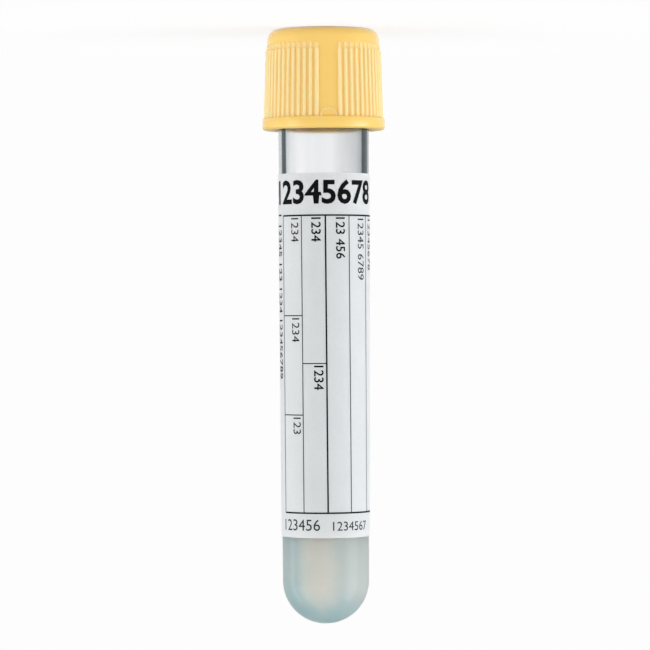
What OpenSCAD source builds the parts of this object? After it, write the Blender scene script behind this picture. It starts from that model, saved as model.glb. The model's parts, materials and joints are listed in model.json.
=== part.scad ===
// Evacuated blood collection tube, 13 x 75 mm format, stood upside down on its cap.
// Every piece is drawn the right way up, round bottom at z = 0, and resting() turns it over.

/* [Tube] */
// Length of the moulded tube, round bottom to rim
tube_length = 75; // [60:1:110]
// Outer diameter at the rim
rim_d = 12.6; // [10:0.1:16]
// Draft of the side wall, for release from the mould
draft_angle = 0.3; // [0.1:0.05:0.5]
// Wall thickness, side and bottom alike
tube_wall = 1.0; // [0.6:0.05:1.5]
// Rounding of the outer edge of the rim
rim_round = 0.3; // [0.1:0.05:0.5]
// Lead-in inside the rim that lets the plug enter
lead_in = 0.3; // [0.1:0.05:0.4]
// Width of the moulding gate's mark under the round bottom
gate_d = 1.6; // [1:0.1:3]
// Depth of that mark
gate_depth = 0.15; // [0.05:0.05:0.3]

/* [Gel] */
// Height of the separator gel above the lowest inside point
gel_height = 14.4; // [6:0.1:25]
// How far the gel's free face dips at its middle
meniscus_dip = 0.6; // [0.2:0.1:1.2]
// Gap between gel and wall
gel_gap = 0.03; // [0.01:0.01:0.1]

/* [Label] */
// Height of the label's lower edge above the round bottom
label_low = 12.1; // [8:0.1:25]
// Length of the label along the tube
label_length = 49.9; // [30:0.1:60]
// Thickness of the label film
label_t = 0.1; // [0.06:0.01:0.2]
// Gap under the film, for its glue
glue_gap = 0.01; // [0.005:0.005:0.03]
// How far round the tube the label reaches, in degrees
label_wrap = 320; // [200:5:350]

/* [Cap] */
// How far the cap's skirt reaches down past the rim
skirt_overlap = 6.9; // [4:0.1:10]
// Radial gap between the skirt and the rim
skirt_gap = 0.3; // [0.2:0.05:0.6]
// Wall thickness of the cap at its plain top band
cap_wall = 1.1; // [0.9:0.05:1.6]
// How much further out the ribbed wall stands at its foot than at its head
skirt_flare = 0.3; // [0.1:0.05:0.6]
// Height of the plain band above the ribs
band_height = 2.2; // [1.5:0.1:3]
// Rounding of the cap's top edge
cap_round = 1.1; // [0.4:0.1:1.3]
// Height of the foot flange
flange_height = 1.6; // [1:0.1:2.5]
// How far the flange stands out past the ribbed wall
flange_lip = 0.45; // [0.3:0.05:0.8]
// Rounding of the flange's edges
flange_round = 0.3; // [0.1:0.05:0.4]
// Thickness of the web that the stopper is locked into
web_t = 1.2; // [0.8:0.1:1.6]
// Depth of the well in the cap's top, above the web
well_depth = 3.4; // [3:0.1:4]
// Thickness of the wall round that well
well_wall = 1.8; // [1:0.1:1.9]

/* [Grip ribs] */
// Number of ribs round the cap
rib_count = 56; // [24:1:60]
// Angle of the plain panel, between the two ribs beside it
panel_angle = 23; // [14:1:40]
// Which way the panel faces, from the middle of the label, in degrees
panel_turn = 5; // [-20:1:20]
// Radius of a rib's rounded back
rib_r = 0.28; // [0.15:0.01:0.3]
// How far a rib stands out of the wall
rib_proud = 0.26; // [0.1:0.01:0.28]
// Length of the low step at a rib's head
rib_step = 0.8; // [0.3:0.1:1.5]
// How far that step stands out of the wall
step_proud = 0.12; // [0.05:0.01:0.16]
// Radius of the half-moon mark at the foot of the panel
mark_r = 1.15; // [0.6:0.05:1.3]
// How far the mark stands out of the wall
mark_proud = 0.15; // [0.05:0.05:0.3]

/* [Stopper] */
// Thickness of the head that seals on the rim
head_t = 2.4; // [1.6:0.1:3]
// Radius of the groove that the cap's web locks into
groove_r = 4.1; // [3.8:0.1:4.6]
// How far the locking bead stands out past the groove
bead_proud = 0.8; // [0.4:0.05:1]
// Height of the locking bead
bead_h = 1.0; // [0.6:0.1:1.4]
// How much narrower the crown is than the bead
crown_taper = 0.15; // [0.05:0.05:0.4]
// Height of the stopper's top above the web
crown_h = 1.6; // [1.2:0.1:2]
// Radius of the dish that the needle enters
dish_r = 3.0; // [2:0.1:3.4]
// Depth of that dish
dish_depth = 0.8; // [0.3:0.1:1.2]
// Depth of the plug below the rim
plug_depth = 6; // [4:0.1:8]
// Gap between the plug and the tube's bore
plug_gap = 0.06; // [0.02:0.01:0.09]
// Rounding of the plug's nose
plug_round = 0.6; // [0.2:0.1:1]
// Radius of the hollow in the plug
hollow_r = 3.0; // [2:0.1:3.2]
// Thickness of the rubber left for the needle to pierce
septum_t = 3.2; // [2.4:0.1:4]

/* [Cap ring] */
// How far below the cap's top the ring in the well ends
ring_sink = 0.8; // [0.4:0.1:1]
// Radius of the ring's needle opening
ring_hole_r = 4.4; // [3.4:0.1:4.6]
// Slope of the edge round that opening
ring_edge = 0.3; // [0.1:0.1:0.6]
// Fitting gap between pieces that are pressed together
fit_gap = 0.05; // [0.02:0.01:0.08]

/* [Hidden] */
fine = 96; // facets of a large round, which are only for the preview
small = 32; // facets of an edge or a rib
past = 0.02; // how far a cutter runs past the face it cuts

// Tube: a ball of radius base_r, tangent to a cone that widens by the draft up to the rim.
rim_r = rim_d / 2;
base_r = (rim_r - tube_length * tan(draft_angle)) / (1 / cos(draft_angle) - tan(draft_angle));

// Cap, from its skirt outwards and from its foot upwards.
skirt_r = rim_r + skirt_gap;
band_r = skirt_r + cap_wall;
foot_r = band_r + skirt_flare;
flange_r = foot_r + flange_lip;
well_r = band_r - well_wall;
cap_foot = tube_length - skirt_overlap;
flange_top = cap_foot + flange_height;
web_low = tube_length + head_t;
web_top = web_low + web_t;
cap_top = web_top + well_depth;
rib_top = cap_top - band_height;
rib_lean = atan(skirt_flare / (rib_top - flange_top));
rib_pitch = (360 - panel_angle) / (rib_count - 1);

// Stopper, from the web that holds it.
head_r = skirt_r - 3 * fit_gap;
bead_r = groove_r + bead_proud;
crown_top = web_top + crown_h;
crown_r = bead_r - crown_taper;
plug_low = tube_length - plug_depth;
septum_low = crown_top - dish_depth - septum_t;

// Radius of the tube's outside, or of a surface set in from it, at height z above the round part.
function side_r(z, inset = 0) =
    (base_r - inset) / cos(draft_angle) + (z - base_r) * tan(draft_angle);

// Radius of the ribbed wall, which widens from the band down to the flange.
function wall_r(z) = band_r + (rib_top - z) * tan(rib_lean);

// Turns a piece over about the Y axis, so that the flat top of the cap is on z = 0.
module resting() {
    translate([0, 0, cap_top])
        rotate([0, 180, 0])
            children();
}

// Removes the square corner at a point and leaves a round of radius r. side gives the corner's signs.
module corner_cut(at, side, r) {
    translate(at)
        mirror([side[0] < 0 ? 1 : 0, 0])
            mirror([0, side[1] < 0 ? 1 : 0])
                translate([-r, -r])
                    difference() {
                        square(r + past);
                        circle(r, $fn = small);
                    }
}

// Half outline of the tube set in by a distance, from its round bottom up to height top.
module tube_outline(inset, top) {
    ball = base_r - inset;
    tangent_z = base_r - ball * sin(draft_angle);
    intersection() {
        union() {
            translate([0, base_r])
                circle(ball, $fn = fine);
            polygon([
                [0, tangent_z],
                [ball * cos(draft_angle), tangent_z],
                [side_r(top, inset), top],
                [0, top]
            ]);
        }
        square([rim_d, top]);
    }
}

module tube() {
    color([0.93, 0.95, 0.96, 0.4])
        resting()
            difference() {
                rotate_extrude($fn = fine)
                    difference() {
                        tube_outline(0, tube_length);
                        tube_outline(tube_wall, tube_length + past);
                        corner_cut([rim_r, tube_length], [1, 1], rim_round);
                        bore_rim_r = side_r(tube_length, tube_wall);
                        polygon([
                            [bore_rim_r - past, tube_length - lead_in],
                            [bore_rim_r, tube_length - lead_in],
                            [bore_rim_r + lead_in, tube_length + past],
                            [bore_rim_r - past, tube_length + past]
                        ]);
                    }
                translate([0, 0, -past])
                    cylinder(d = gate_d, h = gate_depth + past, $fn = small);
            }
}

module gel() {
    face_z = tube_wall + gel_height;
    face_r = side_r(face_z, tube_wall);
    dip_r = (face_r * face_r + meniscus_dip * meniscus_dip) / (2 * meniscus_dip);
    color([0.85, 0.86, 0.82])
        resting()
            rotate_extrude($fn = fine)
                difference() {
                    tube_outline(tube_wall + gel_gap, face_z);
                    translate([0, face_z - meniscus_dip + dip_r])
                        intersection() {
                            circle(dip_r, $fn = 2 * fine);
                            translate([0, -dip_r])
                                square([2 * face_r, dip_r]);
                        }
                }
}

module label() {
    label_high = label_low + label_length;
    color([0.93, 0.94, 0.94])
        resting()
            rotate([0, 0, 270 - label_wrap / 2])
                rotate_extrude(angle = label_wrap, $fn = fine)
                    polygon([
                        [side_r(label_low, -glue_gap), label_low],
                        [side_r(label_low, -glue_gap - label_t), label_low],
                        [side_r(label_high, -glue_gap - label_t), label_high],
                        [side_r(label_high, -glue_gap), label_high]
                    ]);
}

// Half outline of the cap without its ribs: flange, flared wall, plain band, web and well.
module cap_outline() {
    difference() {
        polygon([
            [0, cap_foot],
            [flange_r, cap_foot],
            [flange_r, flange_top],
            [foot_r, flange_top],
            [band_r, rib_top],
            [band_r, cap_top],
            [0, cap_top]
        ]);
        corner_cut([flange_r, cap_foot], [1, -1], flange_round);
        corner_cut([flange_r, flange_top], [1, 1], flange_round);
        corner_cut([band_r, cap_top], [1, 1], cap_round);
        // skirt, with a bevel at its mouth
        translate([-past, cap_foot - past])
            square([skirt_r + past, web_low - cap_foot + past]);
        polygon([
            [skirt_r - past, cap_foot - past],
            [skirt_r + flange_round, cap_foot - past],
            [skirt_r, cap_foot + flange_round],
            [skirt_r - past, cap_foot + flange_round]
        ]);
        // hole in the web, which the stopper's groove sits in
        translate([-past, cap_foot])
            square([groove_r + fit_gap + past, cap_top - cap_foot + past]);
        // well for the cap ring
        translate([-past, web_top])
            square([well_r + past, well_depth + past]);
    }
}

// One grip rib: a round bar that leans with the wall, and a lower step at its head.
module grip_rib(proud, top) {
    start = flange_top - flange_round;
    translate([wall_r(start) + proud - rib_r, 0, start])
        rotate([0, -rib_lean, 0])
            cylinder(r = rib_r, h = (top - start) / cos(rib_lean), $fn = small);
}

module cap() {
    color([0.95, 0.78, 0.42])
        resting()
            rotate([0, 0, 270 + panel_turn])
                union() {
                    rotate_extrude($fn = fine)
                        cap_outline();
                    for (i = [0 : rib_count - 1])
                        rotate([0, 0, panel_angle / 2 + i * rib_pitch]) {
                            grip_rib(rib_proud, rib_top - rib_step);
                            grip_rib(step_proud, rib_top);
                        }
                    // half-moon mark, whose lower half is inside the flange
                    translate([skirt_r + cap_wall / 2, 0, flange_top])
                        rotate([0, 90, 0])
                            cylinder(
                                r = mark_r,
                                h = foot_r + mark_proud - skirt_r - cap_wall / 2,
                                $fn = small
                            );
                }
}

module stopper() {
    plug_top_r = side_r(tube_length, tube_wall) - plug_gap;
    plug_low_r = side_r(plug_low, tube_wall) - plug_gap;
    color([0.35, 0.36, 0.38])
        resting()
            rotate_extrude($fn = fine)
                difference() {
                    polygon([
                        [0, plug_low],
                        [plug_low_r, plug_low],
                        [plug_top_r, tube_length],
                        [head_r, tube_length],
                        [head_r, web_low],
                        [groove_r, web_low],
                        [groove_r, web_top],
                        [bead_r, web_top],
                        [crown_r, web_top + bead_h],
                        [crown_r, crown_top],
                        [0, crown_top]
                    ]);
                    corner_cut([plug_low_r, plug_low], [1, -1], plug_round);
                    // dish that the needle enters, as a shallow part of a ball
                    dish_ball_r = (dish_r * dish_r + dish_depth * dish_depth) / (2 * dish_depth);
                    translate([0, crown_top - dish_depth + dish_ball_r])
                        circle(dish_ball_r, $fn = 2 * fine);
                    translate([-past, plug_low - past])
                        square([hollow_r + past, septum_low - plug_low + past]);
                }
}

module cap_ring() {
    ring_top = cap_top - ring_sink;
    color([0.93, 0.75, 0.35])
        resting()
            rotate_extrude($fn = fine)
                difference() {
                    translate([ring_hole_r, web_top])
                        square([well_r - fit_gap - ring_hole_r, ring_top - web_top]);
                    // seat round the stopper's bead and over its crown
                    translate([0, web_top - past])
                        square([bead_r + fit_gap, crown_h + past]);
                    polygon([
                        [ring_hole_r - past, ring_top - ring_edge],
                        [ring_hole_r + ring_edge, ring_top + past],
                        [ring_hole_r - past, ring_top + past]
                    ]);
                }
}

tube();
gel();
label();
cap();
stopper();
cap_ring();
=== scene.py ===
import json

import bmesh
import bpy
import numpy as np
from mathutils import Matrix


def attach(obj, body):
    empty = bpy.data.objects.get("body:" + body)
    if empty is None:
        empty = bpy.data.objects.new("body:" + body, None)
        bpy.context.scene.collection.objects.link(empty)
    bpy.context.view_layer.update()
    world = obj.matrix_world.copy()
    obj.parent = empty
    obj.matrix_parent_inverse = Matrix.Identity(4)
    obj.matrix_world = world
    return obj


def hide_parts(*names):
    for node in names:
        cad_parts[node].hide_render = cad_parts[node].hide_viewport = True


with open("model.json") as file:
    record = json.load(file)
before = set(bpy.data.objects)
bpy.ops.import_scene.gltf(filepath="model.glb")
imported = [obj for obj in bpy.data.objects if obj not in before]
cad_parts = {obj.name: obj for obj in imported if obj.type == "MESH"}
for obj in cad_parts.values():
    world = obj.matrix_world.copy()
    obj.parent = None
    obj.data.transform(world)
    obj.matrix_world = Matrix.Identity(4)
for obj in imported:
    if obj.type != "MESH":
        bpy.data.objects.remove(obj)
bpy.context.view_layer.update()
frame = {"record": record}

# A capped blood collection tube, stood upside down on its cap on a white floor. The camera is
# turned over too, so that the cap is at the top of the view.
# Heights go up the tube from its round bottom to the cap. Lengths are in millimetres until place()
# turns them into metres in the row frame; the stage, the lamps and the shaders' own sockets are in
# metres.

perMetre = 1000.0  # millimetres in a metre
mountAt = {mount["name"]: np.array(mount["pos_m"]) for mount in frame["record"]["mounts"]}
foot = mountAt["round_bottom"]  # where the tube's axis leaves the round bottom
axis = mountAt["cap_top"] - foot
capTop = float(np.linalg.norm(axis)) * perMetre
axis = axis / np.linalg.norm(axis)  # from the round bottom to the cap
frontward = np.array([0.0, -1.0, 0.0])  # from the axis out through the front of the label
sideways = np.cross(axis, frontward)  # to the right-hand side of the label


def place(radius, angle, height):
    # the axis at that height, plus the radius times the angle's sine sideways and its cosine frontward
    radius, angle, height = np.broadcast_arrays(radius, angle, height)
    out = np.sin(angle)[..., None] * sideways + np.cos(angle)[..., None] * frontward
    return foot + (height[..., None] * axis + radius[..., None] * out) / perMetre


def arc(centre, radius, start, stop, steps):
    # points of radius and height: the centre plus the arc's radius times the cosine and the sine of a
    # turn that goes evenly from start to stop, in degrees
    turn = np.radians(np.linspace(start, stop, steps))
    return np.stack([centre[0] + radius * np.cos(turn), centre[1] + radius * np.sin(turn)], axis=1)


def line(start, stop, steps):
    # evenly spaced points of radius and height from one point to another
    return np.linspace(start, stop, steps)


def smoothStep(value, start, stop):
    # 0 before start and 1 past stop; between them three squares of the share less two of its cubes
    share = np.clip((value - start) / (stop - start), 0, 1)
    return share * share * (3 - 2 * share)


# meshes

meshSettings = {
    "weld": 1e-7,  # points this close become one, in metres
    "sliver": 1e-8,  # shorter edges are dissolved, in metres
    "sharp": 35,  # an edge that turns by more degrees stays sharp
    "wrapLength": 100.0,  # millimetres that the wrap map's one unit spans
}


def quads(rows, columns, closedRows, closedColumns):
    # corner numbers of every cell of a grid whose points are numbered row by row: a point, the next
    # one in its row, and the same two in the next row, the other way round
    i = np.arange(rows if closedRows else rows - 1)[:, None]
    j = np.arange(columns if closedColumns else columns - 1)[None, :]
    here, there = i * columns, (i + 1) % rows * columns
    beside = (j + 1) % columns
    corners = np.broadcast_arrays(here + j, here + beside, there + beside, there + j)
    return np.stack(corners, axis=-1).reshape(-1, 4)


def meshFrom(name, points, faces, uv=None):
    # a mesh of rows of x, y and z and rows of corner numbers, with a map that has a row for each point
    mesh = bpy.data.meshes.new(name)
    mesh.vertices.add(len(points))
    mesh.vertices.foreach_set("co", np.asarray(points, np.float32).ravel())
    mesh.loops.add(faces.size)
    mesh.loops.foreach_set("vertex_index", faces.ravel().astype(np.int32))
    starts = np.arange(0, faces.size, faces.shape[1], dtype=np.int32)
    mesh.polygons.add(len(faces))
    mesh.polygons.foreach_set("loop_start", starts)
    mesh.update(calc_edges=True)
    if uv is not None:
        layer = mesh.uv_layers.new(name="wrap")
        layer.data.foreach_set("uv", np.asarray(uv, np.float32)[faces.ravel()].ravel())
    return mesh


def piece(mesh, body, material, replaced=None, sharp=meshSettings["sharp"], closed=True):
    # makes the mesh an object of the part: welded, facing outwards, smooth but for its edges
    bm = bmesh.new()
    bm.from_mesh(mesh)
    bmesh.ops.remove_doubles(bm, verts=bm.verts, dist=meshSettings["weld"])
    bmesh.ops.dissolve_degenerate(bm, edges=bm.edges, dist=meshSettings["sliver"])
    if closed:
        bmesh.ops.recalc_face_normals(bm, faces=bm.faces)
    bm.to_mesh(mesh)
    bm.free()
    mesh.polygons.foreach_set("use_smooth", np.ones(len(mesh.polygons), bool))
    mesh.set_sharp_from_angle(angle=np.radians(sharp))
    mesh.materials.append(material)
    made = bpy.data.objects.new(mesh.name, mesh)
    bpy.context.scene.collection.objects.link(made)
    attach(made, body)
    if replaced:
        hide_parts(replaced)
    print("made", mesh.name, len(mesh.polygons), "faces")
    return made


def lathe(name, outline, columns, closedRows=False, radiusAt=None):
    # every point of an outline of radius and height goes once round the axis in even turns; radiusAt
    # may raise the radius angle by angle, and gives each point its share of painted light, which the
    # cap's material reads
    angle = np.linspace(-np.pi, np.pi, columns, endpoint=False)[None, :]
    radius, height = outline[:, 0][:, None], outline[:, 1][:, None]
    raised, paintedLight = radiusAt(radius, height, angle) if radiusAt else (radius, 0 * radius)
    points = place(raised, angle, height).reshape(-1, 3)
    up = height / meshSettings["wrapLength"]
    wrap = np.stack(np.broadcast_arrays(angle / (2 * np.pi) + 0.5, up), axis=-1).reshape(-1, 2)
    mesh = meshFrom(name, points, quads(len(outline), columns, closedRows, True), wrap)
    layer = mesh.attributes.new("paintedLight", "FLOAT", "POINT")
    paintedLight = np.broadcast_to(paintedLight, (len(outline), columns))
    layer.data.foreach_set("value", paintedLight.ravel().astype(np.float32))
    return mesh


# materials

def newMaterial(name, **sockets):
    # a material with those values on its shader's own sockets; an underscore stands for a space
    material = bpy.data.materials.new(name)
    material.use_nodes = True
    shader = material.node_tree.nodes["Principled BSDF"]
    for key, value in sockets.items():
        shader.inputs[key.replace("_", " ")].default_value = value
    return material, material.node_tree, shader


def node(tree, kind, inputs=None, **settings):
    # a node of that kind; each of its inputs is a value or another node's output
    made = tree.nodes.new(kind)
    for key, value in settings.items():
        setattr(made, key, value)
    for key, value in (inputs or {}).items():
        if hasattr(value, "is_output"):
            tree.links.new(value, made.inputs[key])
        else:
            made.inputs[key].default_value = value
    return made


def maths(tree, operation, *values):
    # one sum on numbers
    return node(tree, "ShaderNodeMath", dict(enumerate(values)), operation=operation).outputs["Value"]


def vectorMaths(tree, operation, *values):
    # one sum on vectors, which gives a number for a length or a dot product, or else a vector
    made = node(tree, "ShaderNodeVectorMath", dict(enumerate(values)), operation=operation)
    return made.outputs["Value" if operation in ("LENGTH", "DOT_PRODUCT") else "Vector"]


def remap(tree, value, source, target=(0.0, 1.0), curve="LINEAR"):
    # turns source's two ends into target's, with the values between them in step
    inputs = dict(zip(("From Min", "From Max", "To Min", "To Max"), (*source, *target)))
    inputs["Value"] = value
    return node(tree, "ShaderNodeMapRange", inputs, interpolation_type=curve).outputs["Result"]


def blend(tree, share, first, second):
    # the first colour where share is 0, the second where it is 1
    inputs = {"Factor": share}
    for key, colour in (("A", first), ("B", second)):
        inputs[key] = colour if hasattr(colour, "is_output") else (*colour, 1)
    return node(tree, "ShaderNodeMix", inputs, data_type="RGBA").outputs["Result"]


def ramp(tree, factor, stops):
    # colours at places from 0 to 1, with even blends between them
    made = node(tree, "ShaderNodeValToRGB", {"Fac": factor})
    elements = made.color_ramp.elements
    while len(elements) < len(stops):
        elements.new(0.5)
    for element, (position, colour) in zip(elements, stops):
        element.position = position
        element.color = (*colour, 1)
    return made.outputs["Color"]


def objectPlace(tree):
    # where a point lies in the row frame, in metres, with the part at rest
    return node(tree, "ShaderNodeTexCoord").outputs["Object"]


def noise(tree, scale, detail=3.0, roughness=0.5, stretch=(1, 1, 1)):
    # cloudy pattern on Object coordinates; scale counts its blotches in a metre
    moved = node(tree, "ShaderNodeMapping", {"Vector": objectPlace(tree), "Scale": stretch})
    inputs = {"Vector": moved.outputs["Vector"], "Scale": scale, "Detail": detail, "Roughness": roughness}
    return node(tree, "ShaderNodeTexNoise", inputs).outputs["Fac"]


def addBump(tree, shader, height, distance, strength):
    # small relief, as deep as distance where the height is 1
    bump = node(tree, "ShaderNodeBump", {"Height": height, "Distance": distance, "Strength": strength})
    tree.links.new(bump.outputs["Normal"], shader.inputs["Normal"])


def seenDirectly(tree, *rays):
    # 1 for a camera ray or one of the kinds named, if it has met no matt surface yet, else 0
    path = node(tree, "ShaderNodeLightPath")
    kind = path.outputs["Is Camera Ray"]
    for ray in rays:
        kind = maths(tree, "MAXIMUM", kind, path.outputs[ray])
    early = maths(tree, "LESS_THAN", path.outputs["Diffuse Depth"], 0.5)
    return maths(tree, "MULTIPLY", kind, early), path


# the tube

tubeSettings = {
    "length": 75.0,
    "rimRadius": 6.3,
    "draft": 0.3,  # degrees
    "wall": 1.0,
    "rimRound": 0.3,
    "leadIn": 0.3,  # bevel inside the rim, which guides the plug
    "gateRadius": 0.8,
    "gateDepth": 0.15,
    "gateRound": 0.12,
    "gateTurn": 0.6,  # degrees from the gate's edge to the ball's first row
    "sideEnds": 2.0,  # how far the side's even rows keep from the ball's middle and from the rim
    "columns": 160,
    "gloss": (0.22, 0.22, 0.22),
    "clear": (0.925, 0.932, 0.94),
    # the next four are painted shade on the outer face: light at first, darker beside the bands, dark in
    # them and paler again at the rim
    "paintedSoftShade": (0.65, 0.69, 0.705),
    "shade": (0.36, 0.40, 0.415),  # painted shade beside the bands
    "band": (0.0020, 0.0050, 0.0062),  # painted shade where the wall is seen edge-on and guides light away
    "rim": (0.58, 0.61, 0.62),
    "paintedEdgeShades": [  # painted shade of the outer face, by how far it is turned from the eye
        (0.0, "clear"), (0.17, "clear"), (0.33, "paintedSoftShade"), (0.43, "shade"),
        (0.465, "band"), (0.645, "band"), (0.70, "shade"), (0.85, "rim"),
    ],
    "bandStart": 0.46,
    "bandWiden": 0.22,  # how much wider the painted dark band is on the label's right-hand side
    "wet": (0.985, 0.988, 0.99),  # the wall against the gel
    "airFrom": (15.5, 17.5),  # heights between which the gel gives way to air
    "streak": 0.08,
    "paintedShadeSide": (0.2, 0.55),  # where the wall's painted shade grows, as shares of the radius to the right
    # painted shade: the wall's darkening at those two ends, weaker on the left and stronger on the right
    "paintedShadeGain": (-0.5, 1.1),
}
draft = np.radians(tubeSettings["draft"])
slope = np.tan(draft)
# the round bottom is a ball that the tapered side touches without a step: its radius is the rim's less
# the length times the draft's tangent, over 1 by the draft's cosine less that tangent
baseRadius = (tubeSettings["rimRadius"] - tubeSettings["length"] * slope) / (1 / np.cos(draft) - slope)


def sideRadius(height, inset=0.0):
    # the base radius less the inset, over the draft's cosine, plus the height above the ball's middle
    # times the draft's tangent
    return (baseRadius - inset) / np.cos(draft) + (height - baseRadius) * slope


def clearPlastic():
    settings = tubeSettings
    material, tree, shader = newMaterial("clearPet", Roughness=0.1, IOR=1.57, Transmission_Weight=1.0)
    shader.inputs["Specular Tint"].default_value = (*settings["gloss"], 1)
    where = objectPlace(tree)
    side = vectorMaths(tree, "DOT_PRODUCT", where, tuple(sideways * perMetre / baseRadius))
    # painted shade: the outer face darkens towards its edges, by how far it is turned from the eye
    facing = node(tree, "ShaderNodeLayerWeight", {"Blend": 0.5}).outputs["Facing"]
    # past the band's start the painted shades are drawn out towards the label's right-hand side
    beyond = maths(tree, "SUBTRACT", facing, settings["bandStart"])
    slow = maths(tree, "MULTIPLY_ADD", side, -settings["bandWiden"], 1.0)
    bent = maths(tree, "MULTIPLY_ADD", beyond, slow, settings["bandStart"])
    edge = ramp(tree, bent, [(position, settings[tint]) for position, tint in settings["paintedEdgeShades"]])
    # only the outer face takes this painted shade; it is told from the bore by its distance from the axis
    level = vectorMaths(tree, "MULTIPLY", where, (perMetre, perMetre, 0))
    away = vectorMaths(tree, "LENGTH", level)
    outside = maths(tree, "GREATER_THAN", away, baseRadius - settings["wall"] / 3)
    dryWithPaintedShade = blend(tree, outside, settings["clear"], edge)
    # faint streaks along the wall, and painted shade that darkens the wall towards the label's right-hand
    # side
    flow = noise(tree, 900, detail=2.0, roughness=0.6, stretch=(1, 1, 0.05))
    paintedRightShade = remap(tree, side, settings["paintedShadeSide"], settings["paintedShadeGain"])
    dense = maths(tree, "ADD", flow, paintedRightShade)
    thinned = maths(tree, "MULTIPLY_ADD", dense, -settings["streak"], 1.0)
    scaled = node(tree, "ShaderNodeVectorMath", {0: dryWithPaintedShade, "Scale": thinned}, operation="SCALE")
    # all that is for air in the tube and for the eye; light that only passes takes the wet tint
    wrap = node(tree, "ShaderNodeUVMap", uv_map="wrap").outputs["UV"]
    height = node(tree, "ShaderNodeSeparateXYZ", {"Vector": wrap}).outputs["Y"]
    air = remap(tree, height, [end / meshSettings["wrapLength"] for end in settings["airFrom"]])
    direct, _ = seenDirectly(tree, "Is Transmission Ray", "Is Glossy Ray")
    seen = maths(tree, "MULTIPLY", air, direct)
    tint = blend(tree, seen, settings["wet"], scaled.outputs["Vector"])
    tree.links.new(tint, shader.inputs["Base Color"])
    ripple = noise(tree, 160, detail=2.0, stretch=(1, 1, 0.12))
    addBump(tree, shader, ripple, distance=0.00002, strength=0.25)
    return material


def makeTube():
    # outline: up the ball's quarter arc and the tapered side, over the rounded rim, and back down the
    # bore at a wall's distance; offsets of a few hundredths break the edges
    size = tubeSettings
    ball, top, lead = baseRadius, size["length"], size["leadIn"]
    boreRim = sideRadius(top, size["wall"])
    low, high = ball + size["sideEnds"], top - size["sideEnds"]
    gate, deep, rounding = size["gateRadius"], size["gateDepth"], size["gateRound"]
    gateAngle = np.degrees(np.arcsin(gate / ball))
    gateFoot = ball - ball * np.cos(np.radians(gateAngle))
    rim = (size["rimRadius"] - size["rimRound"], top - size["rimRound"])
    outline = np.concatenate([
        line((0, deep), (gate - rounding, deep), 4),
        line((gate - rounding / 3, deep - rounding / 4), (gate, gateFoot), 2),
        arc((0, ball), ball, -90 + gateAngle + size["gateTurn"], -size["draft"], 48),
        line((sideRadius(low), low), (sideRadius(high), high), 36),
        arc(rim, size["rimRound"], 0, 90, 8),
        line((boreRim + lead + 0.05, top), (boreRim + lead - 0.02, top - 0.03), 2),
        line((boreRim + 0.04, top - lead + 0.04), (boreRim, top - lead - 0.06), 2),
        line((sideRadius(high, size["wall"]), high), (sideRadius(low, size["wall"]), low), 36),
        arc((0, ball), ball - size["wall"], -size["draft"], -90, 48),
    ])
    return piece(lathe("tubeShell", outline, size["columns"]), "tube_body", clearPlastic(), "tube")


# the gel

gelSettings = {
    "height": 14.4,  # from the foot of the bore to its face
    "dip": 0.6,
    "intoWall": 0.015,
    "sideFoot": 7.5,  # where the even rows of its side begin
    "faceEdge": 0.2,
    "columns": 128,
    "left": (0.69, 0.82, 0.815),  # painted light: a bluish rim for the light that the cloudy gel scatters back
    # painted light: the rim is paler on the label's right-hand side
    "right": (0.82, 0.875, 0.845),
    "sides": (-2.0, 3.0),  # where the left rim's colour turns into the right one's
    # painted shade: darker and bluer at the foot of the ball
    "foot": (0.48, 0.72, 0.755),
    "footEnds": (-5.2, -0.6),  # where the foot's colour turns into the rim's
    "footSlant": 0.2,
    "paintedBacklight": (0.998, 0.97, 0.875),  # painted light: warm, where light comes through it
    "coreUp": 0.4,  # height of its middle over the ball's
    "coreLeft": 0.8,  # how far its middle is off to the left
    "coreDown": 0.55,  # how much slower it ends downwards than sideways
    "coreEnds": (1.3, 4.2),  # distances from its middle between which it fades out
    "cloud": 1.6,  # how far the clouds in the gel push its edge
}


# cloudy gel whose colour holds painted light: a warm glow through its middle, a bluish rim that is paler
# to the right, and painted shade at its foot
def milkyGel():
    settings = gelSettings
    material, tree, shader = newMaterial(
        "separatorGel", Roughness=0.5, IOR=1.4, Specular_IOR_Level=0.1,
        Subsurface_Weight=0.3, Subsurface_Scale=0.0015)
    shader.inputs["Subsurface Radius"].default_value = (1.0, 0.8, 0.7)
    middle = tuple(place(0.0, 0.0, baseRadius + settings["coreUp"]))
    off = vectorMaths(tree, "SUBTRACT", objectPlace(tree), middle)
    across = vectorMaths(tree, "DOT_PRODUCT", off, tuple(sideways * perMetre))
    along = vectorMaths(tree, "DOT_PRODUCT", off, tuple(axis * perMetre))
    # painted light: a warm column, where light comes through, that ends in a half ellipse below its
    # middle
    down = maths(tree, "MULTIPLY", maths(tree, "MINIMUM", along, 0.0), settings["coreDown"])
    inward = maths(tree, "ADD", across, settings["coreLeft"])
    flat = node(tree, "ShaderNodeCombineXYZ", {"X": inward, "Y": down}).outputs["Vector"]
    wave = noise(tree, 320, detail=2.0)
    away = maths(tree, "MULTIPLY_ADD", wave, settings["cloud"], vectorMaths(tree, "LENGTH", flat))
    paintedBacklight = remap(tree, away, settings["coreEnds"], (1.0, 0.0), "SMOOTHSTEP")
    # painted light and shade: the rim paler to the right and darker towards the ball's foot
    rim = blend(tree, remap(tree, across, settings["sides"]), settings["left"], settings["right"])
    slanted = maths(tree, "MULTIPLY_ADD", across, settings["footSlant"], along)
    outer = blend(tree, remap(tree, slanted, settings["footEnds"]), settings["foot"], rim)
    tint = blend(tree, paintedBacklight, outer, settings["paintedBacklight"])
    tree.links.new(tint, shader.inputs["Base Color"])
    return material


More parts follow.
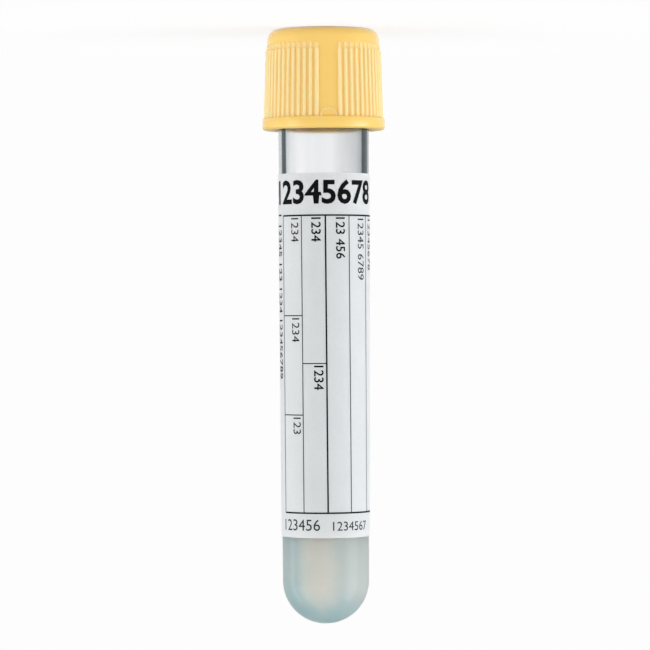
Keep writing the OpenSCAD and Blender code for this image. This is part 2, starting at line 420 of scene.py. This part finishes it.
def makeGel():
    # outline: the bore's ball and side, a little into the wall, then a face that dips from its edge by
    # 1 less the square of its share of the radius
    size = gelSettings
    inset = tubeSettings["wall"] - size["intoWall"]
    face = tubeSettings["wall"] + size["height"]
    rim, low = sideRadius(face, inset), size["sideFoot"]
    share = np.linspace(1, 0, 20)
    outline = np.concatenate([
        arc((0, baseRadius), baseRadius - inset, -90, -tubeSettings["draft"], 40),
        line((sideRadius(low, inset), low), (rim, face - size["faceEdge"]), 10),
        np.stack([rim * share, face - size["dip"] * (1 - share ** 2)], axis=1),
    ])
    return piece(lathe("gelFill", outline, size["columns"]), "tube_body", milkyGel(), "gel")


# the label

labelSettings = {
    "low": 12.1,
    "length": 49.9,
    "thickness": 0.1,
    "glue": 0.01,
    "wrap": 320,  # degrees round the tube
    "rows": 40,
    "columns": 240,
    "paper": (0.785, 0.805, 0.81),
    "mottle": (0.745, 0.765, 0.772),
}


def labelPaper():
    # coated paper film, a little darker between its fibres
    settings = labelSettings
    material, tree, shader = newMaterial(
        "labelFilm", Roughness=0.48, Specular_IOR_Level=0.3,
        Subsurface_Weight=0.55, Subsurface_Scale=0.0005)
    shader.inputs["Subsurface Radius"].default_value = (1.0, 0.96, 0.92)
    fibre = noise(tree, 2600, detail=4.0, roughness=0.6)
    mixed = maths(tree, "MULTIPLY", fibre, noise(tree, 180, detail=2.0))
    tint = ramp(tree, mixed, [(0.1, settings["mottle"]), (0.4, settings["paper"])])
    tree.links.new(tint, shader.inputs["Base Color"])
    addBump(tree, shader, fibre, distance=0.00001, strength=0.35)
    return material


def makeLabel():
    # a thin strip bent round the tube: a grid up its outer face at the side's radius plus glue and
    # film, back down its inner face at the side's radius plus glue, and a row of cells for each end
    size = labelSettings
    rows, columns = size["rows"], size["columns"]
    half = np.radians(size["wrap"] / 2)
    angle = np.linspace(-half, half, columns)[None, :]
    height = np.linspace(size["low"], size["low"] + size["length"], rows)[:, None]
    height = np.concatenate([height, height[::-1]])
    film = np.where(np.arange(2 * rows)[:, None] < rows, size["thickness"] / np.cos(draft), 0.0)
    radius = sideRadius(height, -size["glue"]) + film
    points = place(radius, angle, height).reshape(-1, 3)
    wrapLength = meshSettings["wrapLength"]
    wrap = np.broadcast_arrays(angle * radius / wrapLength + 0.5, height / wrapLength)
    row = np.arange(rows - 1)
    last = 2 * rows - 1 - row
    end = np.stack([row, row + 1, last - 1, last], axis=1) * columns
    faces = np.concatenate([quads(2 * rows, columns, True, False), end, end + columns - 1])
    mesh = meshFrom("labelFilm", points, faces, np.stack(wrap, axis=-1).reshape(-1, 2))
    return piece(mesh, "tube_body", labelPaper(), "label")


# the print on the label

printSettings = {
    "lift": 0.016,  # ink over the film
    "middle": 0.17,  # arc from the front to the form's middle rule
    "lean": 0.0045,  # how far the form leans for each millimetre down
    "column": 3.42,
    "columns": 4,  # to the right of the middle rule
    "margin": -7.05,  # the form's left border
    "formTop": 56.2,
    "formFoot": 15.5,
    "leftRows": (42.5, 28.9),
    "rightRow": 35.95,
    "fine": 0.067,  # half widths of the rules
    "bold": 0.11,
    "cell": (0.5, 6.0),  # the most that a rule's faces span, across and up
    "numeralCell": 0.3,  # steps in which the numerals are cut
    "numeralWeld": 0.005,  # share of a numeral's size within which its points become one
    "captions": 1.85,  # sizes of the numerals
    "sideLine": 1.9,
    "order": 2.2,
    "code": 1.78,
    "head": 4.4,
    "boldWeight": 0.022,  # how much thicker some of them are on every side
    "sideWeight": 0.012,
    "headWeight": 0.115,
    "dark": (0.012, 0.012, 0.013),
    "pale": (0.035, 0.035, 0.038),
    "black": (0.002, 0.002, 0.0025),
}


def printInk(name, colour):
    # matt ink, a little paler where it is worn
    material, tree, shader = newMaterial(name, Roughness=0.55, Specular_IOR_Level=0.05)
    worn = tuple(level * 1.5 + 0.004 for level in colour)
    tint = ramp(tree, noise(tree, 4200, roughness=0.6), [(0.25, worn), (0.6, colour)])
    tree.links.new(tint, shader.inputs["Base Color"])
    return material


def onLabel(across, height):
    # a point of the print: its arc from the form's middle rule over the label's radius is its angle,
    # and its radius is the label's plus the lift of the ink
    size, film = printSettings, labelSettings["glue"] + labelSettings["thickness"]
    arcLength = across + size["middle"] + size["lean"] * (size["formTop"] - height)
    radius = sideRadius(height, -film)
    return place(radius + size["lift"], arcLength / radius, height)


def inkPatches(name, patches, material):
    # flat fields of ink on the label, each an even grid between its left, right, low and high
    cellWidth, cellHeight = printSettings["cell"]
    points, faces, count = [], [], 0
    for left, right, low, high in patches:
        columns = 2 + int((right - left) / cellWidth)
        rows = 2 + int((high - low) / cellHeight)
        across = np.linspace(left, right, columns)[None, :]
        height = np.linspace(low, high, rows)[:, None]
        points.append(onLabel(across, height).reshape(-1, 3))
        faces.append(quads(rows, columns, False, False) + count)
        count += rows * columns
    mesh = meshFrom(name, np.concatenate(points), np.concatenate(faces))
    return piece(mesh, "tube_body", material, closed=False)


def flatArrays(bm):
    # the corners of a flat triangle mesh as rows of x and y, and its triangles as rows of corner numbers
    mesh = bpy.data.meshes.new("flat")
    bm.to_mesh(mesh)
    points = np.empty(3 * len(mesh.vertices), np.float32)
    corners = np.empty(len(mesh.loops), np.int32)
    mesh.vertices.foreach_get("co", points)
    mesh.loops.foreach_get("vertex_index", corners)
    bpy.data.meshes.remove(mesh)
    return points.reshape(-1, 3)[:, :2].astype(float), corners.reshape(-1, 3)


def widened(points, corners, weight):
    # moves the outline of flat numerals outwards by weight: each corner goes along the sum of its two
    # sides' unit normals, doubled and divided by that sum's square, or by 0.8 where it is less
    sides = np.concatenate([corners[:, [0, 1]], corners[:, [1, 2]], corners[:, [2, 0]]])
    far = np.concatenate([corners[:, 2], corners[:, 0], corners[:, 1]])
    ordered = np.sort(sides, axis=1)
    _, first, count = np.unique(ordered, axis=0, return_index=True, return_counts=True)
    rim, inner = sides[first[count == 1]], far[first[count == 1]]
    along = points[rim[:, 1]] - points[rim[:, 0]]
    out = np.stack([along[:, 1], -along[:, 0]], axis=1) / np.linalg.norm(along, axis=1)[:, None]
    out = out * -np.sign((out * (points[inner] - points[rim[:, 0]])).sum(axis=1))[:, None]
    total = np.zeros_like(points)
    np.add.at(total, rim[:, 0], out)
    np.add.at(total, rim[:, 1], out)
    return points + total * 2 * weight / np.maximum((total ** 2).sum(axis=1), 0.8)[:, None]


def numeralShape(text, size, weight):
    # corners and triangles of flat numerals about their own middle: the font's outline, widened by
    # weight, then cut across and along in even steps, so that it can bend
    curve = bpy.data.curves.new("numeral", "FONT")
    curve.body, curve.size, curve.resolution_u = text, size, 3
    flat = bpy.data.objects.new("numeral", curve)
    mesh = bpy.data.meshes.new_from_object(flat)
    bm = bmesh.new()
    bm.from_mesh(mesh)
    bmesh.ops.remove_doubles(bm, verts=bm.verts, dist=printSettings["numeralWeld"] * size)
    bmesh.ops.triangulate(bm, faces=bm.faces)
    points, corners = flatArrays(bm)
    points = widened(points, corners, weight)
    bm.free()
    low, high = points.min(axis=0), points.max(axis=0)
    wide = meshFrom("numeral", np.pad(points, ((0, 0), (0, 1))), corners)
    bm = bmesh.new()
    bm.from_mesh(wide)
    step = printSettings["numeralCell"]
    for way in (0, 1):
        normal = [0, 0, 0]
        normal[way] = 1
        for cut in np.arange(low[way] + step, high[way], step):
            everything = [*bm.verts, *bm.edges, *bm.faces]
            spot = cut * np.array(normal)
            bmesh.ops.bisect_plane(bm, geom=everything, plane_co=spot, plane_no=normal)
    bmesh.ops.triangulate(bm, faces=bm.faces)
    points, corners = flatArrays(bm)
    bm.free()
    bpy.data.meshes.remove(mesh)
    bpy.data.meshes.remove(wide)
    bpy.data.objects.remove(flat)
    bpy.data.curves.remove(curve)
    return points - (low + high) / 2, corners, high - low


def inkNumerals(name, marks, material, size, weight=0.0, turned=False):
    # numerals on the label, each given as text, across and height of the end that they start from;
    # turned ones read downwards, so their x runs down and their y across
    points, faces, count = [], [], 0
    for text, across, height in marks:
        flat, corners, reach = numeralShape(text, size, weight)
        flat = flat + (reach[0] / 2, 0)
        x, y = (flat[:, 1], -flat[:, 0]) if turned else (flat[:, 0], flat[:, 1])
        points.append(onLabel(across + x, height + y))
        faces.append(corners + count)
        count += len(flat)
    mesh = meshFrom(name, np.concatenate(points), np.concatenate(faces))
    return piece(mesh, "tube_body", material, closed=False)


def makePrint():
    # the form's rules, evenly spaced from its middle rule to the right, and the numerals
    size = printSettings
    step, top, low, left = size["column"], size["formTop"], size["formFoot"], size["margin"]
    fine, bold, right = size["fine"], size["bold"], size["columns"] * size["column"]
    upperRow, lowerRow = size["leftRows"]
    middleRow = size["rightRow"]
    darkInk = printInk("formInk", size["dark"])
    paleInk = printInk("fineInk", size["pale"])
    greyInk = printInk("noteInk", size["pale"])
    inkPatches("formRules", [
        (left, right, top - bold, top + bold),
        (left, right, low - bold, low + bold),
        (-bold, bold, low, top),
        (left, -step, upperRow - fine, upperRow + fine),
        (left, -step, lowerRow - fine, lowerRow + fine),
        (-step, 0, middleRow - fine, middleRow + fine),
    ], darkInk)
    across = [left, -step, *(step * (1 + np.arange(size["columns"])))]
    inkPatches("columnRules", [(x - fine, x + fine, low, top) for x in across], paleInk)
    # plain numerals, counted up from 1, stand where such a label has its captions
    inkNumerals("fieldNumbers", [
        ("1234", -4.55, top - 0.35),
        ("1234", -4.55, upperRow - 0.35),
        ("123", -4.45, lowerRow - 0.35),
        ("12345 6789", 5.6, top - 0.45),
        ("12345678", 8.3, top - 0.5),
    ], darkInk, size["captions"], turned=True)
    inkNumerals("boldNumbers", [
        ("1234", -1.3, top - 0.3),
        ("1234", -1.1, middleRow - 0.3),
        ("123 456", 2.1, top - 0.3),
    ], darkInk, size["captions"], size["boldWeight"], turned=True)
    sideLine = [("1 12345 123 1234 123456789", -8.3, 56.4)]
    inkNumerals("sideNumbers", sideLine, darkInk, size["sideLine"], size["sideWeight"], turned=True)
    inkNumerals("footNumbers", [("123456", -7.2, 13.85)], greyInk, size["order"])
    inkNumerals("footCode", [("1234567", 0.65, 13.7)], greyInk, size["code"])
    headInk = printInk("headInk", size["black"])
    inkNumerals("headNumbers", [("12345678", -8.6, 59.4)], headInk, size["head"], size["headWeight"])


# the cap

capSettings = {
    "foot": 68.1,
    "flangeRadius": 8.45,
    "flangeHeight": 1.6,
    "flangeRound": 0.3,
    "footRound": 0.4,
    "footRadius": 8.0,
    "bandRadius": 7.7,
    "bandHeight": 2.2,
    "topRound": 1.5,
    "wellRound": 0.15,
    "skirtRadius": 6.6,
    "mouthBevel": 0.3,
    "webLow": 77.4,
    "webTop": 78.6,
    "webHole": 4.15,
    "wellRadius": 5.9,
    "columns": 1008,
    "sharp": 50,
    "colour": (0.955, 0.625, 0.133),
    "paintedLightColour": (0.955, 0.72, 0.33),  # painted light: a paler colour on the ribs, between them and on the mark's border
}
ribSettings = {
    "count": 56,
    "panel": 23.0,  # degrees between the two ribs beside the plain panel
    "turn": 5.0,  # degrees from the front to the middle of the panel
    "radius": 0.28,
    "proud": 0.26,
    "step": 0.8,
    "stepProud": 0.12,
    "stepSoft": 0.04,  # how far over and under its place the step rises
    "endSoft": (0.03, -0.05),  # heights from the ribs' top between which they rise
    "footSoft": 0.02,  # height under the flange's top over which they rise
    "markRadius": 1.15,
    "markProud": 0.1,
    "markSoft": (0.05, -0.07),  # distances from the mark's edge between which it rises
    "markBorder": 0.08,  # how much further its border stands out
    "borderInset": 0.06,
    "borderSoft": (0.14, 0.04),  # distances from the border's middle between which it rises
    "between": 0.3,  # how much painted light makes the wall pale between the bars
    "betweenSoft": (-1.5, 0.5),  # degrees from the panel's edge between which it turns pale
    # painted highlight on the mark's border
    "paintedBorderLight": 0.8,
    "paintedBarLight": (0.02, 0.11),  # how proud a bar is where its painted highlight begins, and where it is full
}
flangeTop = capSettings["foot"] + capSettings["flangeHeight"]
ribTop = capTop - capSettings["bandHeight"]
stepTop = ribTop - ribSettings["step"]


def ribbed(radius, height, angle):
    # raises the wall by a row of bars and by a half-moon mark. A bar is a circle's arc: the root of its
    # radius squared less the distance squared, less the radius, plus how far it stands proud. It drops
    # to a lower step at its head. The mark is a plain disc with a border
    size = ribSettings
    turn = np.degrees(angle) - size["turn"]
    turn = (turn + 180) % 360 - 180
    pitch = (360 - size["panel"]) / (size["count"] - 1)
    fromPanel = np.abs(turn) - size["panel"] / 2
    nearest = np.maximum(np.round(fromPanel / pitch), 0) * pitch
    away = np.radians(fromPanel - nearest) * radius
    bar = np.sqrt(np.maximum(size["radius"] ** 2 - away ** 2, 0)) - size["radius"]
    high = np.maximum(bar + size["proud"], 0)
    low = np.maximum(bar + size["stepProud"], 0)
    outer = radius > capSettings["bandRadius"] - 0.01  # not the well's or the skirt's rows
    onWall = smoothStep(height, flangeTop - size["footSoft"], flangeTop) * outer
    full = smoothStep(height, stepTop + size["stepSoft"], stepTop - size["stepSoft"])
    ends = smoothStep(height - ribTop, *size["endSoft"])
    bars = (low + (high - low) * full) * ends
    away = np.hypot(np.radians(turn) * radius, height - flangeTop) - size["markRadius"]
    border = smoothStep(np.abs(away + size["borderInset"]), *size["borderSoft"])
    mark = size["markProud"] * smoothStep(away, *size["markSoft"]) + size["markBorder"] * border
    # painted light: the bars' crests, the wall between them and the mark's border take the paler colour
    between = size["between"] * smoothStep(fromPanel, *size["betweenSoft"]) * ends
    paintedLight = np.maximum(smoothStep(bars, *size["paintedBarLight"]), between)
    paintedLight = np.maximum(paintedLight, size["paintedBorderLight"] * border)
    return radius + np.maximum(bars, mark) * onWall, paintedLight * onWall


def capPlastic(name, colour, paintedLightColour):
    # the second colour is painted light, a paler look on the ribs, between them and on the mark's border
    material, tree, shader = newMaterial(
        name, Roughness=0.26, IOR=1.51, Specular_IOR_Level=0.9,
        Subsurface_Weight=0.5, Subsurface_Scale=0.0012)
    shader.inputs["Subsurface Radius"].default_value = (1.0, 0.6, 0.25)
    deeper = tuple(level * 0.97 for level in colour)
    tint = ramp(tree, noise(tree, 120, detail=2.0), [(0.3, deeper), (0.7, colour)])
    paintedLight = node(tree, "ShaderNodeAttribute", attribute_name="paintedLight").outputs["Fac"]
    tree.links.new(blend(tree, paintedLight, tint, paintedLightColour), shader.inputs["Base Color"])
    addBump(tree, shader, noise(tree, 3500, detail=2.0), distance=0.000008, strength=0.3)
    return material


def wallRows():
    # rows of the flared wall, close together at the mark and at the ribs' step; the radius falls by
    # about 0.03 for each millimetre up, from the foot's to the band's
    root, band = capSettings["footRadius"], capSettings["bandRadius"]
    markTop = flangeTop + ribSettings["markRadius"]
    return np.concatenate([
        line((root, flangeTop + 0.1), (root - 0.035, markTop + 0.15), 18),
        line((root - 0.05, markTop + 0.45), (band + 0.026, stepTop - 0.1), 6),
        line((band + 0.025, stepTop - 0.045), (band + 0.023, stepTop + 0.045), 4),
        line((band + 0.015, ribTop - 0.4), (band, ribTop - 0.06), 3),
    ])


def makeCap():
    # outline: out along the foot, round the flange, up the flared wall and the band, over the rounded
    # top, down the well, round the web and down the skirt; offsets of a few hundredths break the edges
    size = capSettings
    skirt, well, hole = size["skirtRadius"], size["wellRadius"], size["webHole"]
    foot, webLow, webTop = size["foot"], size["webLow"], size["webTop"]
    flange, band, root = size["flangeRadius"], size["bandRadius"], size["footRadius"]
    bevel, lower, upper = size["mouthBevel"], size["footRound"], size["flangeRound"]
    crown, lip = size["topRound"], size["wellRound"]
    outline = np.concatenate([
        line((skirt + bevel + 0.02, foot), (flange - lower, foot), 4)[:-1],
        arc((flange - lower, foot + lower), lower, -90, 0, 7),
        arc((flange - upper, flangeTop - upper), upper, 0, 90, 7),
        line((root + 0.06, flangeTop), (root + 0.01, flangeTop + 0.03), 2),
        wallRows(),
        line((band, ribTop - 0.03), (band, ribTop + 0.04), 3),
        arc((band - crown, capTop - crown), crown, 0, 90, 13),
        arc((well + lip, capTop - lip), lip, 90, 180, 5),
        line((well, capTop - 0.4), (well, webTop + 0.05), 4),
        line((well - 0.05, webTop), (hole + 0.05, webTop), 3),
        line((hole, webTop - 0.05), (hole, webLow + 0.05), 3),
        line((hole + 0.05, webLow), (skirt - 0.05, webLow), 3),
        line((skirt, webLow - 0.05), (skirt, foot + bevel + 0.05), 6),
        line((skirt + 0.02, foot + bevel - 0.02), (skirt + bevel - 0.02, foot + 0.02), 2),
    ])
    mesh = lathe("capShell", outline, size["columns"], closedRows=True, radiusAt=ribbed)
    plastic = capPlastic("capPlastic", size["colour"], size["paintedLightColour"])
    return piece(mesh, "closure", plastic, "cap", sharp=size["sharp"])


# the stopper

stopperSettings = {
    "plugLow": 69.0,
    "plugGap": 0.06,
    "noseRound": 0.6,
    "headRadius": 6.45,
    "headHeight": 2.4,  # from the tube's rim to the web's underside
    "headEdge": 0.12,
    "grooveRadius": 4.1,
    "grooveHeight": 1.2,
    "beadRadius": 4.9,
    "beadEdge": 0.08,
    "beadTop": 79.6,
    "crownRadius": 4.75,
    "crownTop": 80.2,
    "crownRound": 0.15,
    "dishRadius": 3.0,
    "dishDepth": 0.8,
    "hollowRadius": 3.0,
    "hollowRound": 0.4,
    "mouthRound": 0.2,
    "septumLow": 76.2,
    "columns": 128,
    "rubber": (0.15, 0.15, 0.155),
    "bloom": (0.2, 0.2, 0.205),
}


def stopperRubber():
    # matt grey rubber with a paler bloom
    settings = stopperSettings
    material, tree, shader = newMaterial("stopperRubber", Roughness=0.62, Specular_IOR_Level=0.4)
    bloom = noise(tree, 900, detail=4.0, roughness=0.6)
    tint = ramp(tree, bloom, [(0.3, settings["rubber"]), (0.7, settings["bloom"])])
    tree.links.new(tint, shader.inputs["Base Color"])
    addBump(tree, shader, bloom, distance=0.00002, strength=0.3)
    return material


def makeStopper():
    # outline: out along the septum, down the hollow, round the nose, up the tapered plug, round head,
    # groove, bead and crown, and into the dish, which dips by 1 less the square of its share of the
    # radius; offsets of a few hundredths break the edges
    size = stopperSettings
    rim, wall = tubeSettings["length"], tubeSettings["wall"]
    low, septum, nose = size["plugLow"], size["septumLow"], size["noseRound"]
    lowRadius = sideRadius(low, wall) - size["plugGap"]
    topRadius = sideRadius(rim, wall) - size["plugGap"]
    hollow, inner, mouth = size["hollowRadius"], size["hollowRound"], size["mouthRound"]
    head, edge, headTop = size["headRadius"], size["headEdge"], rim + size["headHeight"]
    groove, grooveTop = size["grooveRadius"], headTop + size["grooveHeight"]
    bead, beadEdge, beadTop = size["beadRadius"], size["beadEdge"], size["beadTop"]
    crown, crownTop, crownRound = size["crownRadius"], size["crownTop"], size["crownRound"]
    share = np.linspace(1, 0, 14)
    outline = np.concatenate([
        line((0, septum), (hollow - inner, septum), 5)[:-1],
        arc((hollow - inner, septum - inner), inner, 90, 0, 6),
        line((hollow, septum - 1), (hollow, low + mouth + 0.1), 6),
        arc((hollow + mouth, low + mouth), mouth, 180, 270, 5),
        arc((lowRadius - nose, low + nose), nose, -90, 0, 8),
        line((topRadius, rim - 0.05), (topRadius + 0.05, rim), 2),
        line((head - edge, rim), (head, rim + edge), 3),
        line((head, headTop - edge), (head - edge, headTop), 3),
        line((groove + 0.05, headTop), (groove, headTop + 0.05), 2),
        line((groove, grooveTop - 0.05), (groove + 0.05, grooveTop), 2),
        line((bead - beadEdge, grooveTop), (bead, grooveTop + beadEdge), 3),
        line((crown + 0.05, beadTop - 0.06), (crown, beadTop + 0.05), 3),
        arc((crown - crownRound, crownTop - crownRound), crownRound, 0, 90, 5),
        np.stack([size["dishRadius"] * share, crownTop - size["dishDepth"] * (1 - share ** 2)], axis=1),
    ])
    return piece(lathe("stopperPlug", outline, size["columns"]), "closure", stopperRubber(), "stopper")


# the ring in the cap's well

ringSettings = {
    "height": 2.6,
    "holeRadius": 4.4,
    "edge": 0.3,
    "outerRound": 0.12,
    "gap": 0.05,
    "columns": 160,
    "colour": (0.90, 0.56, 0.11),
}


def makeRing():
    # outline: out along the web, up the well's wall, over the top, down the bevelled hole to the crown,
    # and back round the bead; offsets of a few hundredths break the edges
    size = ringSettings
    well, rounding = capSettings["wellRadius"] - size["gap"], size["outerRound"]
    low, top = capSettings["webTop"], capSettings["webTop"] + size["height"]
    bead, crownTop = stopperSettings["beadRadius"] + size["gap"], stopperSettings["crownTop"]
    hole, edge = size["holeRadius"], size["edge"]
    outline = np.concatenate([
        line((bead + 0.03, low), (well - 0.05, low), 3),
        line((well, low + 0.05), (well, top - rounding), 3),
        arc((well - rounding, top - rounding), rounding, 0, 90, 5),
        line((hole + edge + 0.04, top), (hole + edge - 0.04, top - 0.03), 3),
        line((hole + 0.04, top - edge + 0.03), (hole, top - edge - 0.05), 3),
        line((hole, crownTop + 0.03), (hole + 0.03, crownTop), 2),
        line((bead - 0.03, crownTop), (bead, crownTop - 0.03), 2),
    ])
    mesh = lathe("wellRing", outline, size["columns"], closedRows=True)
    return piece(mesh, "closure", capPlastic("ringPlastic", size["colour"], size["colour"]), "cap_ring")


print("building the pieces")
makeTube()
makeGel()
makeLabel()
makePrint()
makeCap()
makeStopper()
makeRing()

# the stage, in metres

stageSettings = {
    "white": 0.982,
    "floorHalf": 3.0,
    "floorDrop": 0.00002,  # how far it lies under the part
    "floor": (0.82, 0.82, 0.82),  # its own pale colour, which throws light back up
    "floorLight": 0.75,  # how bright that colour looks near the tube, out of its shadow
    "shadowShare": 0.3,  # how much of the floor's white takes the shadow near the tube
    "shadowFade": (0.012, 0.06),  # from where to where that share fades out
    "sky": (0.55, 0.9),  # light from behind the tube and from the front
    "skyTop": 0.7,  # how much of that comes from overhead
    "skyRise": (0.2, 0.9),  # between which heights of the sky it falls to that
    "sensor": 0.036,
    "clip": (0.01, 10.0),
    "eyeHeight": 0.0412,  # height up the tube that the camera is level with
    "eyeDistance": 0.515,
    "eyeAcross": 0.00005,  # how far it stands to the right of the axis
    "viewWidth": 0.08978,  # what the view spans at the tube's axis
    "lean": 0.3,  # degrees that the tube leans to the left
}
lampSettings = {  # across, front and high, then width and length, power in watts and colour
    "leftBox": (-0.45, 0.24, 0.282, 0.44, 0.56, 1.22, (0.98, 0.99, 1.0)),
    "rightBox": (0.5, 0.1, 0.282, 0.44, 0.56, 1.42, (0.93, 0.97, 1.0)),
    "leftStrip": (-0.5, -0.08, 0.262, 0.26, 0.52, 0.36, (1, 1, 1)),
    "rightStrip": (0.44, 0.234, 0.262, 0.26, 0.52, 0.48, (1, 1, 1)),
}


def makeFloor():
    # a square round the tube, white to the eye, with a share of its real shade close to the tube
    stage = stageSettings
    half = stage["floorHalf"]
    corners = np.array([[-half, -half, 0], [half, -half, 0], [half, half, 0], [-half, half, 0]])
    mesh = meshFrom("floor", corners - (0, 0, stage["floorDrop"]), np.array([[0, 1, 2, 3]]))
    floor = bpy.data.objects.new("floor", mesh)
    bpy.context.scene.collection.objects.link(floor)
    material, tree, shader = newMaterial("paleFloor", Roughness=0.9, Specular_IOR_Level=0.0)
    shader.inputs["Base Color"].default_value = (*stage["floor"], 1)
    share, white = stage["shadowShare"], stage["white"]
    away = vectorMaths(tree, "LENGTH", objectPlace(tree))
    matt = remap(tree, away, stage["shadowFade"], (share, 0.0))
    # the glow is stronger near the tube, so that with the lit floor it still comes to white
    lift = (white - share * stage["floorLight"]) / (1 - share)
    strength = remap(tree, matt, (0.0, share), (white, lift))
    glow = node(tree, "ShaderNodeEmission", {"Color": (1, 1, 1, 1), "Strength": strength})
    direct, path = seenDirectly(tree, "Is Glossy Ray", "Is Transmission Ray")
    shadowed = maths(tree, "MULTIPLY", path.outputs["Is Camera Ray"], matt)
    glowing = maths(tree, "SUBTRACT", direct, shadowed)
    inputs = {0: glowing, 1: shader.outputs["BSDF"], 2: glow.outputs["Emission"]}
    mixed = node(tree, "ShaderNodeMixShader", inputs)
    tree.links.new(mixed.outputs["Shader"], tree.nodes["Material Output"].inputs["Surface"])
    mesh.materials.append(material)


def makeWorld():
    # a pale sky, brighter in front of the label, that looks white where it is seen itself
    stage = stageSettings
    world = bpy.data.worlds.new("studio")
    bpy.context.scene.world = world
    world.use_nodes = True
    tree = world.node_tree
    way = node(tree, "ShaderNodeTexCoord").outputs["Generated"]
    front = vectorMaths(tree, "DOT_PRODUCT", way, tuple(frontward))
    high = node(tree, "ShaderNodeSeparateXYZ", {"Vector": way}).outputs["Z"]
    share = remap(tree, high, stage["skyRise"], (1.0, stage["skyTop"]))
    dimmed = maths(tree, "MULTIPLY", remap(tree, front, (-1.0, 1.0), stage["sky"]), share)
    direct, _ = seenDirectly(tree, "Is Transmission Ray")
    strength = node(tree, "ShaderNodeMix", {"Factor": direct, "A": dimmed, "B": stage["white"]})
    background = tree.nodes["Background"]
    background.inputs["Color"].default_value = (1, 1, 1, 1)
    tree.links.new(strength.outputs["Result"], background.inputs["Strength"])


def setAxes(made, position, right, up, back):
    # puts an object there, with its x, y and z along right, up and back
    turned = np.eye(4)
    turned[:3, 0], turned[:3, 1], turned[:3, 2], turned[:3, 3] = right, up, back, position
    made.matrix_world = Matrix(turned.tolist())


def softBox(name, across, front, high, width, length, power, colour):
    # an upright lamp that faces the tube's axis
    light = bpy.data.lights.new(name, "AREA")
    light.shape = "RECTANGLE"
    light.size, light.size_y = width, length
    light.energy = power
    light.color = colour
    light.use_nodes = True
    tree = light.node_tree
    # bright along its middle, fading towards its two long edges
    spot = node(tree, "ShaderNodeNewGeometry").outputs["Parametric"]
    over = node(tree, "ShaderNodeSeparateXYZ", {"Vector": spot}).outputs["X"]
    far = maths(tree, "ABSOLUTE", maths(tree, "SUBTRACT", over, 0.5))
    glow = remap(tree, far, (0.5, 0.0), (0.0, 2.0), "SMOOTHSTEP")
    tree.links.new(glow, tree.nodes["Emission"].inputs["Strength"])
    made = bpy.data.objects.new(name, light)
    bpy.context.scene.collection.objects.link(made)
    made.visible_camera = False
    position = sideways * across + frontward * front + np.array([0, 0, high])
    back = position * (1, 1, 0) / np.linalg.norm(position[:2])
    setAxes(made, position, np.cross((0, 0, 1), back), (0, 0, 1), back)


def makeCamera():
    # in front of the label and turned over: up in the view is along the axis, less the tube's lean
    stage = stageSettings
    lens = bpy.data.cameras.new("camera")
    lens.sensor_width = stage["sensor"] * perMetre
    lens.lens = lens.sensor_width * stage["eyeDistance"] / stage["viewWidth"]
    lens.clip_start, lens.clip_end = stage["clip"]
    camera = bpy.data.objects.new("camera", lens)
    bpy.context.scene.collection.objects.link(camera)
    lean = np.radians(stage["lean"])
    right = sideways * np.cos(lean) - axis * np.sin(lean)
    up = axis * np.cos(lean) + sideways * np.sin(lean)
    eye = foot + axis * stage["eyeHeight"] + frontward * stage["eyeDistance"]
    eye = eye + right * stage["eyeAcross"]
    setAxes(camera, eye, right, up, frontward)
    bpy.context.scene.camera = camera


print("lighting the stage")
makeFloor()
makeWorld()
for name, values in lampSettings.items():
    softBox(name, *values)
makeCamera()
bpy.context.scene.view_settings.view_transform = "Standard"
